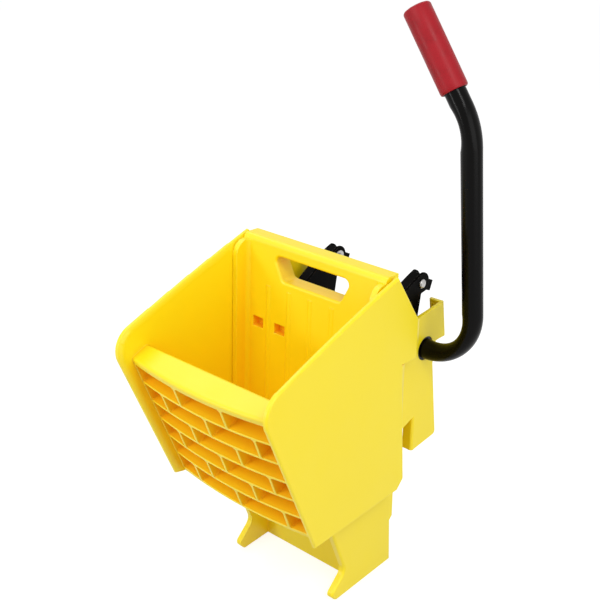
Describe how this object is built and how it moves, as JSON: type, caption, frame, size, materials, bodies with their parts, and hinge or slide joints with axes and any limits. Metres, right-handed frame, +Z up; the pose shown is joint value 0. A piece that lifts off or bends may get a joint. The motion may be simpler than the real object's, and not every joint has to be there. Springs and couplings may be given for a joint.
{
  "type": "mop wringer",
  "caption": "Side-press mop wringer: a yellow moulded hopper with a hinged press plate, driven forward by a cranked steel handle through a pair of links.",
  "frame": {"origin": "middle of the cross wall's bottom face, level with the feet", "axes": "+Z up along the handle, +X towards the handle's side, -Y towards the ribbed front wall"},
  "size_m": [0.2921, 0.3602, 0.7232],
  "materials": {
    "yellow_plastic": "fine satin moulding",
    "black_steel": "satin black coating",
    "red_grip": "soft vinyl",
    "black_plastic": "matte",
    "zinc_steel": "bright zinc plate"
  },
  "bodies": {
    "frame": {"body": "yellow_plastic", "shaft_bush_right": "black_plastic", "shaft_bush_left": "black_plastic", "plate_hinge_rod": "zinc_steel"},
    "handle": {"handle_tube": "black_steel", "grip": "red_grip", "tube_plug": "black_plastic", "crank_arm_right": "black_steel", "crank_arm_left": "black_steel", "crank_bolt_right": "zinc_steel", "crank_bolt_left": "zinc_steel", "crank_nut_right": "zinc_steel", "crank_nut_left": "zinc_steel", "crank_pin_right": "zinc_steel", "crank_pin_left": "zinc_steel", "crank_washer_right": "zinc_steel", "crank_washer_left": "zinc_steel"},
    "plate": {"press_plate": "yellow_plastic", "plate_pin_right": "zinc_steel", "plate_pin_left": "zinc_steel", "plate_washer_right": "zinc_steel", "plate_washer_left": "zinc_steel"},
    "link_right": {"link_right": "black_steel"},
    "link_left": {"link_left": "black_steel"}
  },
  "joints": [
    {"name": "handle_swing", "type": "hinge", "parent": "frame", "child": "handle", "pos_m": [0, 0.105, 0.303], "axis": [1, 0, 0], "range_deg": [0, 60]},
    {"name": "plate_swing", "type": "hinge", "parent": "frame", "child": "plate", "pos_m": [0, -0.002, 0.168], "axis": [1, 0, 0], "range_deg": [0, 33]},
    {"name": "link_right_swing", "type": "hinge", "parent": "handle", "child": "link_right", "pos_m": [0.067, 0.12, 0.38], "axis": [1, 0, 0], "range_deg": [-66, 0]},
    {"name": "link_left_swing", "type": "hinge", "parent": "handle", "child": "link_left", "pos_m": [-0.067, 0.12, 0.38], "axis": [1, 0, 0], "range_deg": [-66, 0]}
  ],
  "couplings": [
    {"joint": "plate_swing", "follows": "handle_swing", "ratio": 0.545},
    {"joint": "link_right_swing", "follows": "handle_swing", "ratio": -1.095},
    {"joint": "link_left_swing", "follows": "handle_swing", "ratio": -1.095}
  ]
}
